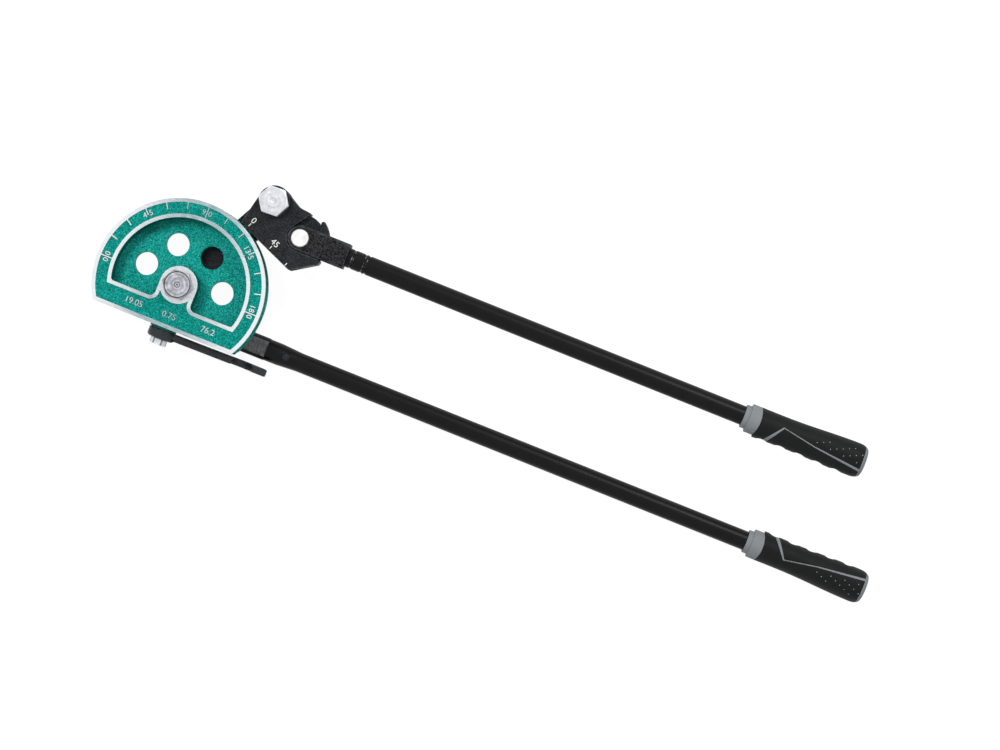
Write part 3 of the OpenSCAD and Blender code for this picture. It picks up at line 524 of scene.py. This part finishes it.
def sintered_bronze(colours):
    """Sintered bronze of a plain bush: pressed grains, drawn coarser than real, under a dull oily shine."""
    m, tree, surface, place = new_finish("sintered bronze", Base_Color=colours.bronze, Metallic=1.0)
    grains = add(tree, "TexVoronoi", {"Vector": place, "Scale": per(0.6 * MM)})
    rough = add(tree, "MapRange", {0: grains.outputs[0], 3: 0.32, 4: 0.55})
    tree.links.new(rough.outputs[0], surface.inputs["Roughness"])
    bump = add(tree, "Bump", {"Strength": 0.2, "Distance": 0.1 * MM, "Height": grains.outputs[0]})
    tree.links.new(bump.outputs[0], surface.inputs["Normal"])
    return m


def marking_paint(colours):
    """White paint wiped into stamped marks: slightly uneven, matt."""
    m, tree, surface, place = new_finish("white marking paint", Roughness=0.6)
    worn = add(tree, "TexNoise", {"Vector": place, "Scale": per(0.8 * MM), "Detail": 3.0})
    tone = add(tree, "ValToRGB", {0: worn.outputs[0]})
    thin, full = tone.color_ramp.elements
    thin.position, full.position = 0.25, 0.5
    thin.color, full.color = [0.55 * c for c in colours.marking[:3]] + [1], colours.marking
    tree.links.new(tone.outputs[0], surface.inputs["Base Color"])
    return m


def background_seen(tree):
    """1 for a ray from the camera, a reflection or a clear body, and 0 for one that gathers light."""
    path = add(tree, "LightPath")
    seen = add(tree, "Math", {0: path.outputs["Is Camera Ray"], 1: path.outputs["Is Glossy Ray"]},
               operation="MAXIMUM")
    return add(tree, "Math", {0: seen.outputs[0], 1: path.outputs["Is Transmission Ray"]},
               operation="MAXIMUM").outputs[0]


def paper_floor(colours):
    """White paper: it shows white to the camera and in reflections, and keeps a pale shadow."""
    m = bpy.data.materials.new("white paper")
    m.use_nodes = True
    tree = m.node_tree
    tree.nodes.remove(tree.nodes["Principled BSDF"])
    shown = background_seen(tree)
    tone = add(tree, "Mix", {0: shown, 6: [0.8 * c for c in colours.floor[:3]] + [1],
                             7: [0.13 * c for c in colours.floor[:3]] + [1]}, data_type="RGBA")
    paper = add(tree, "BsdfDiffuse", {"Color": tone.outputs[2]})
    level = add(tree, "Math", {0: shown, 1: 0.945}, operation="MULTIPLY")
    glow = add(tree, "Emission", {"Color": colours.floor, "Strength": level.outputs[0]})
    both = add(tree, "AddShader", {0: paper.outputs[0], 1: glow.outputs[0]})
    tree.links.new(both.outputs[0], tree.nodes["Material Output"].inputs["Surface"])
    return m


# Pieces

class BENDER_OT_wheel(bpy.types.Operator):
    """Forming wheel with its enamel, machined bands and dial numbers"""
    bl_idname = "bender.wheel"
    bl_label = "Forming wheel"

    def execute(self, context):
        colours, sizes = context.scene.bender_colours, context.scene.bender_sizes
        enamel = hammered_enamel(colours, sizes)
        merged_copy("forming_wheel", enamel, 0.22 * MM)
        marks = []
        middle = (BAND_IN + BAND_OUT) / 2
        # Angle that a digit takes: the first stands 0.95 of it from its tick, the next 1.15 further on
        step = sizes.numeral * 0.62 / middle
        dial = [(180, "0", "0"), (135, "4", "5"), (90, "9", "0"), (45, "13", "5"), (0, "18", "0")]
        for angle, left, right in dial:
            for side, digits in ((1, left[::-1]), (-1, right)):
                for n, digit in enumerate(digits):
                    turn = radians(angle) + side * step * (0.95 + 1.15 * n)
                    spot = upright(middle * cos(turn), middle * sin(turn), NUMBER_Z, turn - pi / 2)
                    marks.append((digit, sizes.numeral, NUMBER_T, spot, NUMBER_SWELL))
        for text, x in (("19.05", -30.3), ("0.75", 2.3), ("76.2", 38.7)):
            spot = upright(x * MM, STRIP_Y, NUMBER_Z, 0)
            marks.append((text, 1.12 * sizes.numeral, NUMBER_T, spot, NUMBER_SWELL))
        new_piece("dial_numbers", lettering(marks, "dial_numbers"), "frame",
                  enamel)
        return {"FINISHED"}


class BENDER_OT_bolts(bpy.types.Operator):
    """Hexagon bolts with turned heads, lock nuts and cut threads"""
    bl_idname = "bender.bolts"
    bl_label = "Bolts and nuts"

    def bolt_rows(self, across, head, low, top, shank, pitch, tail):
        """Profile of a bolt from the middle of its head down to its tip: a shallow centre mark, a
        flat, the chamfer as a cone that falls 0.577 of its run, the flats, the shank and thread."""
        corner = across / 2 / cos(pi / 6)
        ring = 0.475 * across
        cone = np.linspace(ring, corner * 1.001, 14)
        mark = across / 12
        rows = [(0.0, top - 0.5 * MM, ""), (mark * 0.5, top - 0.45 * MM, ""),
                (mark, top - 0.1 * MM, ""), (mark * 1.15, top, ""),
                (ring * 0.5, top, ""), (ring * 0.97, top, "")]
        rows += [(r, top - (r - ring) * tan(pi / 6), "hex") for r in cone]
        base = top - head
        under = np.linspace(corner * 1.001, across / 2 * 0.985, 4)
        rows += [(corner * 1.001, base + 0.3 * MM, "hex")]
        rows += [(r, base, "hex") for r in under]
        rows += [(shank, base, ""), (shank, tail + 0.3 * MM, "")]
        turns = int(round((tail - low) / pitch * 16))
        rows += [(shank, z, "thread") for z in np.linspace(tail, low + shank * 0.2, turns)]
        rows += [(shank * 0.8, low, ""), (0.0, low, "")]
        return rows

    def nut_rows(self, across, low, top, collar, bore):
        """Profile of a lock nut from its bore round its collar and hexagon and back to the bore."""
        corner = across / 2 / cos(pi / 6)
        ring = 0.475 * across
        cone = np.linspace(ring, corner * 1.001, 12)
        rows = [(bore, low + 0.4 * MM, ""), (bore + 0.6 * MM, low, ""), (across * 0.41, low, ""),
                (across * 0.44, low + 0.35 * collar, ""), (across * 0.45, low + 0.8 * collar, ""),
                (across * 0.45, low + collar, ""), (ring * 0.98, low + collar, "")]
        rows += [(r, low + collar + (r - ring) * tan(pi / 6), "hex") for r in cone]
        rows += [(corner * 1.001, top - 0.2 * MM, "hex"), (across * 0.49, top, "hex"), (bore, top, "")]
        return rows[::-1]

    def place_bolt(self, node, rows, flats, material, place, helix=None):
        points, faces = turned(rows, flats=flats, place=place, helix=helix)
        mesh = mesh_of(node + "_turned", points, faces)
        work = bmesh.new()
        work.from_mesh(mesh)
        bmesh.ops.remove_doubles(work, verts=work.verts, dist=1e-7)
        bmesh.ops.recalc_face_normals(work, faces=work.faces)
        for edge in work.edges:
            edge.smooth = len(edge.link_faces) == 2 and edge.calc_face_angle(0) < radians(28)
        work.to_mesh(mesh)
        work.free()
        piece = new_piece(node + "_turned", mesh, BODY_OF[node], material)
        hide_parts(node)

    def execute(self, context):
        colours, sizes = context.scene.bender_colours, context.scene.bender_sizes
        zinc = plain_zinc(colours)
        # M16: width across flats, height of the head, radius of the shank and of the nut's bore
        flats, head, shank, bore = 24 * MM, 10 * MM, 8 * MM, 8.02 * MM
        thread = (sizes.thread_pitch, 0.55 * sizes.thread_pitch)
        # Ring tones of the two heads: turning marks, with painted reflection and shade such as the pivot's dark
        # centre mark and dark ring at the edge of its flat
        worn = [(0, 0.1), (0.8, 0.3), (1.4, 1.0), (2.2, 0.15), (3.2, 0.9), (5, 0.6), (7, 1.0),
                (8.8, 0.6), (10.4, 0.95), (10.9, 0.12), (11.4, 0.12), (12.0, 0.6), (14, 0.9)]
        fresh = [(0, 0.78), (1.4, 1.1), (2.4, 0.84), (4, 1.05), (6, 0.9), (8, 1.05), (10, 0.92),
                 (11.2, 0.85), (11.6, 1.05), (14, 0.95)]
        for node, centre, turn, base, tones, cloudy in (
                ("pivot_bolt", PIVOT, 4, colours.worn_zinc, worn, (0.5, 1.35)),
                ("shoe_bolt", SHOE_BOLT, 3, colours.zinc, fresh, (0.78, 1.15))):
            low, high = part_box(node)
            rows = self.bolt_rows(flats, head, low[2], high[2], shank, sizes.thread_pitch,
                                  low[2] + THREAD_L)
            foot = (centre[0], centre[1], 0)
            finish = turned_zinc(base, sizes, "turned zinc, " + node.replace("_", " "), foot, tones,
                                 cloudy=cloudy)
            place = Matrix.Translation(foot) @ Matrix.Rotation(radians(turn), 4, "Z")
            self.place_bolt(node, rows, flats, finish, place, thread)
        for node, centre in (("pivot_nut", PIVOT), ("shoe_nut", SHOE_BOLT)):
            low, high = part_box(node)
            rows = self.nut_rows(flats, low[2], high[2], 3 * MM, bore)
            self.place_bolt(node, rows, flats, zinc, Matrix.Translation((centre[0], centre[1], 0)))
        # The latch's bolt is M8 and lies along Y
        flats, head, shank, pitch = 13 * MM, 5.3 * MM, 4 * MM, 1.25 * MM
        low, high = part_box("latch_bolt")
        lie = Matrix.Translation((LATCH_BOLT[0], 0, LATCH_BOLT[2])) @ Matrix.Rotation(pi / 2, 4, "X")
        rows = self.bolt_rows(flats, head, -high[1], -low[1], shank, pitch, -high[1] + THREAD_L)
        # Painted shade at the corners of the latch bolt's head, and painted highlight just inside them, read
        # across its axis
        painted_corner_shade = [(0, 0.7), (3, 0.95), (5, 0.8), (6.4, 1.1), (6.9, 1.1), (7.2, 0.4), (7.5, 0.2)]
        finish = turned_zinc(colours.zinc, sizes, "turned zinc, latch bolt", (0, 0, LATCH_BOLT[2]),
                             painted_corner_shade, (1, 0, 1))
        self.place_bolt("latch_bolt", rows, flats, finish, lie, (pitch, 0.6 * MM))
        for node in ("thrust_washer", "pivot_washer", "shoe_spacer", "link_washer", "tang_pins"):
            merged_copy(node, zinc, 0.25 * MM)
        pin = turned_zinc(colours.pin, sizes, "turned zinc, handle pin", (HANDLE_PIN[0], HANDLE_PIN[1], 0),
                          [(0, 0.95), (2, 1.0), (5, 0.94), (8, 1.0)], metallic=0.3)
        merged_copy("handle_pin", pin, 0.15 * MM)
        bronze = sintered_bronze(colours)
        for node in ("link_bush", "shoe_bush"):
            merged_copy(node, bronze, 0.2 * MM)
        return {"FINISHED"}


class BENDER_OT_blacks(bpy.types.Operator):
    """Blackened steel: shoe with its marks, link arm, latch, tang, washer and rivet"""
    bl_idname = "bender.blacks"
    bl_label = "Blackened steel"

    def on_shoe(self, along, out):
        """A point by its distance along the shoe's edge and its height over it, in metres."""
        reach = BEND_R + out
        return np.array([along * sin(SHOE_ANGLE) + reach * cos(SHOE_ANGLE),
                         reach * sin(SHOE_ANGLE) - along * cos(SHOE_ANGLE)])

    def execute(self, context):
        colours, sizes = context.scene.bender_colours, context.scene.bender_sizes
        # Black oxide is a thin, slightly blotchy black that stays matt
        oxide = coated("black oxide on steel", colours.black_oxide, grain=1.6 * MM, relief=0.4,
                       rough=0.46, spread=(0.35, 2.6))
        # Its rounds show grey in broken lines: painted edge highlight as well as steel worn through the coat
        edge_wear_and_highlight = coated("black oxide worn and painted lighter at the edges", colours.edge_wear_and_highlight, **EDGE_WEAR_AND_HIGHLIGHT)
        merged_copy("tube_rivet", oxide, sizes.edge)
        for node in ("link_arm", "shoe_washer"):
            merged_copy(node, oxide, sizes.edge, edge_wear_and_highlight=edge_wear_and_highlight)
        merged_copy("forming_shoe", oxide, 0.8 * MM, edge_wear_and_highlight=edge_wear_and_highlight)
        # A thin coat on a casting follows its uneven skin and has a soft shine
        cast = coated("thin black coat on a casting", colours.latch, grain=1.0 * MM, relief=0.6,
                      rough=0.34, spread=(0.6, 1.6), shine=0.3)
        merged_copy("tube_latch", cast, 1.2 * MM, edge_wear_and_highlight=edge_wear_and_highlight)
        _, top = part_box("fixed_tang")
        merged_copy("fixed_tang", ground_flat(colours, top[2]), sizes.edge)
        paint = marking_paint(colours)
        # Lines by their place along the shoe's edge, and their start and end over it, in mm
        lines = [(7.1, 3.6, 6.6), (34.0, 2.3, 5.3), (53.8, 1.0, 4.0)]
        low, high = SHOE_Z - 0.2 * MM, SHOE_Z + 0.06 * MM
        ticks = bars([(self.on_shoe(t * MM, a * MM), self.on_shoe(t * MM, b * MM), 0.7 * MM, low, high)
                      for t, a, b in lines], "shoe_lines")
        new_piece("shoe_lines", ticks, "shoe", paint)
        marks = []
        for text, t, n in (("0", 7.1, 10.2), ("45", 34.0, 9.2)):
            x, y = self.on_shoe(t * MM, n * MM)
            spot = upright(x, y, SHOE_Z - 0.09 * MM, SHOE_ANGLE - pi / 2)
            marks.append((text, sizes.shoe_numeral, 0.3 * MM, spot, 0.0))
        new_piece("shoe_numbers", lettering(marks, "shoe_numbers"), "shoe", paint)
        return {"FINISHED"}


class BENDER_OT_handles(bpy.types.Operator):
    """Knuckle with its wrinkled coat and the two satin handle tubes"""
    bl_idname = "bender.handles"
    bl_label = "Knuckle and tubes"

    def execute(self, context):
        colours, sizes = context.scene.bender_colours, context.scene.bender_sizes
        # A wrinkled coat is a field of small pebbles; the light each one catches is painted into its colour as
        # highlight, lighter and darker at random
        wrinkle = coated("wrinkled black powder coat", colours.powder, sizes.coat_grain, relief=1.0,
                         rough=0.5, spread=(0.05, 5.4), cells=0.6)
        # Its rounds show grey in broken lines: painted edge highlight as well as steel where the coat is thin
        thin = coated("powder coat worn and painted lighter at the edges", colours.edge_wear_and_highlight, **EDGE_WEAR_AND_HIGHLIGHT)
        merged_copy("handle_knuckle", wrinkle, 0.6 * MM, edge_wear_and_highlight=thin)
        # A satin coat is smooth, with one soft streak of light along the tube
        satin = coated("satin black powder coat", colours.powder, **SATIN)
        merged_copy("fixed_tube", satin, 0.15 * MM)
        low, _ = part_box("moving_tube")
        # The crimped rings get painted glints as lines of bare steel, which also stand for wear
        crimped = coated("satin black powder coat, scuffed at the crimps", colours.powder, **SATIN)
        crimp_glints_and_wear(crimped, colours, low[0])
        merged_copy("moving_tube", crimped, 0.15 * MM)
        return {"FINISHED"}


class BENDER_OT_grips(bpy.types.Operator):
    """Two grips of grey plastic with black rubber panels and small palm studs"""
    bl_idname = "bender.grips"
    bl_label = "Grips"

    def surface(self, s):
        """Radius and middle of a grip at a distance s from its front, all in millimetres: before its
        waist it flares with the square of the distance, behind it the radius grows by the smooth step
        3 k^2 - 2 k^3, and the middle line leans towards the palm."""
        k = np.clip((s - WAIST_S) / SWELL_S, 0, 1)
        front = WAIST_R + FLARE * ((WAIST_S - s) / FLARE_S) ** 2
        back = WAIST_R + SWELL * k * k * (3 - 2 * k)
        return np.where(s < WAIST_S, front, back), LEAN * s + LEAN_START

    def studs(self, name, body, front, side, material, radius):
        """Small domes on a slanting lattice over the palm of a grip, on both of its faces. A dome is
        a cap of the sphere given by its ring angles; its axis is the surface's radial direction. Studs
        under the fixed grip are pressed flat by the bench."""
        i = np.concatenate([np.arange(n) for n in STUD_ROWS])
        j = np.repeat(np.arange(len(STUD_ROWS)), STUD_ROWS)
        s, y = (a + b * i + c * j for a, b, c in zip(STUD_FIRST, STUD_STEP, STUD_ROW_STEP))
        r, middle = self.surface(s)
        up = np.sqrt(np.maximum(r ** 2 - (y - middle) ** 2, 1))
        s, y, middle = (np.concatenate([v, v]) for v in (s, y, middle))
        z = np.concatenate([up, -up])
        axis = np.column_stack([np.zeros_like(s), y - middle, z])
        axis /= np.linalg.norm(axis, axis=1)[:, None]
        along = np.array([1.0, 0.0, 0.0])
        other = np.cross(axis, along)
        turn = np.arange(STUD_SIDES) * 2 * pi / STUD_SIDES
        lon, lat = np.meshgrid(turn, np.radians(STUD_RINGS))
        dome = np.stack([np.sin(lat) * np.cos(lon), np.sin(lat) * np.sin(lon), np.cos(lat) * STUD_RISE], -1)
        dome = np.concatenate([dome.reshape(-1, 3), [[0, 0, STUD_RISE]]]) * radius / MM
        centre = np.column_stack([s, y, z])
        points = (centre[:, None] + dome[:, 0:1] * along + dome[:, 1:2] * other[:, None]
                  + dome[:, 2:3] * axis[:, None]).reshape(-1, 3)
        points = np.column_stack([front[0] / MM + points[:, 0], front[1] / MM + side * points[:, 1],
                                  np.maximum(front[2] / MM + points[:, 2], 0)]) * MM
        a, b = np.meshgrid(np.arange(len(STUD_RINGS)) * STUD_SIDES, np.arange(STUD_SIDES), indexing="ij")
        ring, beside = a + b, a + (b + 1) % STUD_SIDES
        quads = np.stack([ring[:-1], beside[:-1], beside[1:], ring[1:]], -1).reshape(-1, 4)
        fan = np.column_stack([ring[-1], beside[-1], np.full(STUD_SIDES, len(dome) - 1)])
        first = np.arange(len(centre))[:, None, None] * len(dome)
        faces = [*(first + quads).reshape(-1, 4), *(first + fan).reshape(-1, 3)]
        if side < 0:
            faces = [f[::-1] for f in faces]
        new_piece(name, mesh_of(name, points, faces), body, material)

    def execute(self, context):
        colours, sizes = context.scene.bender_colours, context.scene.bender_sizes
        # Moulded plastic is an even, dull grey
        grey = coated("moulded grey plastic", colours.grey, grain=0.6 * MM, relief=0.1, rough=0.52,
                      spread=(0.92, 1.08))
        # Rubber is a deep matt black, and its polished studs are painted a lighter grey as glints, a point of
        # light each
        rubber = coated("moulded black rubber", colours.rubber, grain=0.55 * MM, relief=0.22, rough=0.55,
                        shine=0.14)
        stud_painted_glint = coated("moulded rubber studs painted as glints", colours.stud, grain=0.5 * MM, relief=0.0, rough=0.25,
                       shine=0.5)
        for side in ("fixed", "moving"):
            merged_copy(side + "_grip_core", grey, 0.4 * MM)
            merged_copy(side + "_grip_palm", rubber, 0.3 * MM, 40)
            merged_copy(side + "_grip_fingers", rubber, 0.3 * MM, 40)
        low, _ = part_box("fixed_grip_core")
        self.studs("fixed_grip_studs", "frame", (low[0], -24.8 * MM, 15.2 * MM), -1, stud_painted_glint, sizes.stud)
        low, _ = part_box("moving_grip_core")
        self.studs("moving_grip_studs", "handle", (low[0], HANDLE_PIN[1], HANDLE_PIN[2]), 1, stud_painted_glint,
                   sizes.stud)
        return {"FINISHED"}


class BENDER_OT_stage(bpy.types.Operator):
    """White paper, soft light from the upper left and a camera straight above"""
    bl_idname = "bender.stage"
    bl_label = "Stage"

    def execute(self, context):
        scene = context.scene
        colours, sizes = scene.bender_colours, scene.bender_sizes
        x, y = np.meshgrid(np.linspace(-5, 5, 2), np.linspace(-5, 5, 2))
        corners = np.column_stack([x.ravel(), y.ravel(), np.full(4, -0.3 * MM)])
        floor = bpy.data.objects.new("floor", mesh_of("floor", corners, [[0, 1, 3, 2]]))
        floor.data.materials.append(paper_floor(colours))
        scene.collection.objects.link(floor)
        view = bpy.data.cameras.new("camera")
        view.lens, view.sensor_width, view.clip_end = LENS, 36, 50
        camera = bpy.data.objects.new("camera", view)
        camera.location = (AIM[0], AIM[1], sizes.camera_height)
        camera.rotation_euler = (0, 0, CAMERA_TURN)
        scene.collection.objects.link(camera)
        scene.camera = camera
        # Lights by their direction in plan, distance and height from the aim, size in metres and watts.
        # Bright metal doesn't mirror the broad key light, so that it doesn't clip
        for name, across, away, high, size, watts, mirrored in (
                ("key light", (-0.95, 0.31), 1.15, 2.15, 0.6, 31, False),
                ("edge light", (0.35, 0.94), 1.45, 1.5, 0.5, 13, True)):
            lamp = bpy.data.lights.new(name, "AREA")
            lamp.size, lamp.energy = size, watts
            light = bpy.data.objects.new(name, lamp)
            spot = AIM + np.array([across[0] * away, across[1] * away, high])
            light.location = spot
            light.rotation_euler = Vector(AIM - spot).to_track_quat("-Z", "Y").to_euler()
            light.visible_glossy = mirrored
            scene.collection.objects.link(light)
        world = bpy.data.worlds.new("studio")
        world.use_nodes = True
        scene.world = world
        tree = world.node_tree
        sky = add(tree, "SeparateXYZ", {0: add(tree, "TexCoord").outputs["Generated"]})
        # A soft sky, brighter overhead than at the horizon, that shows white
        soft = add(tree, "MapRange", {0: sky.outputs["Z"], 3: 0.22, 4: 0.66})
        shown = add(tree, "Mix", {0: background_seen(tree), 2: soft.outputs[0], 3: 1.0})
        tree.links.new(shown.outputs[0], tree.nodes["Background"].inputs["Strength"])
        tree.nodes["Background"].inputs["Color"].default_value = (1, 1, 1, 1)
        scene.view_settings.view_transform = "Standard"
        return {"FINISHED"}


class BENDER_PT_panel(bpy.types.Panel):
    """Lists the steps that dress the tube bender"""
    bl_idname = "BENDER_PT_panel"
    bl_label = "Tube bender"
    bl_space_type = "VIEW_3D"
    bl_region_type = "UI"
    bl_category = "Tube bender"

    def draw(self, context):
        for step in STEPS:
            self.layout.operator(step.bl_idname)
        for group in (context.scene.bender_sizes, context.scene.bender_colours):
            for name in group.__annotations__:
                self.layout.prop(group, name)


STEPS = (BENDER_OT_stage, BENDER_OT_wheel, BENDER_OT_bolts, BENDER_OT_blacks, BENDER_OT_handles,
         BENDER_OT_grips)
CLASSES = (BenderColours, BenderSizes, *STEPS, BENDER_PT_panel)


def register():
    for item in CLASSES:
        bpy.utils.register_class(item)
    bpy.types.Scene.bender_colours = PointerProperty(type=BenderColours)
    bpy.types.Scene.bender_sizes = PointerProperty(type=BenderSizes)


def unregister():
    del bpy.types.Scene.bender_sizes
    del bpy.types.Scene.bender_colours
    for item in reversed(CLASSES):
        bpy.utils.unregister_class(item)


def main():
    register()
    for step in STEPS:
        group, name = step.bl_idname.split(".")
        getattr(getattr(bpy.ops, group), name)()


if __name__ == "__main__":
    main()
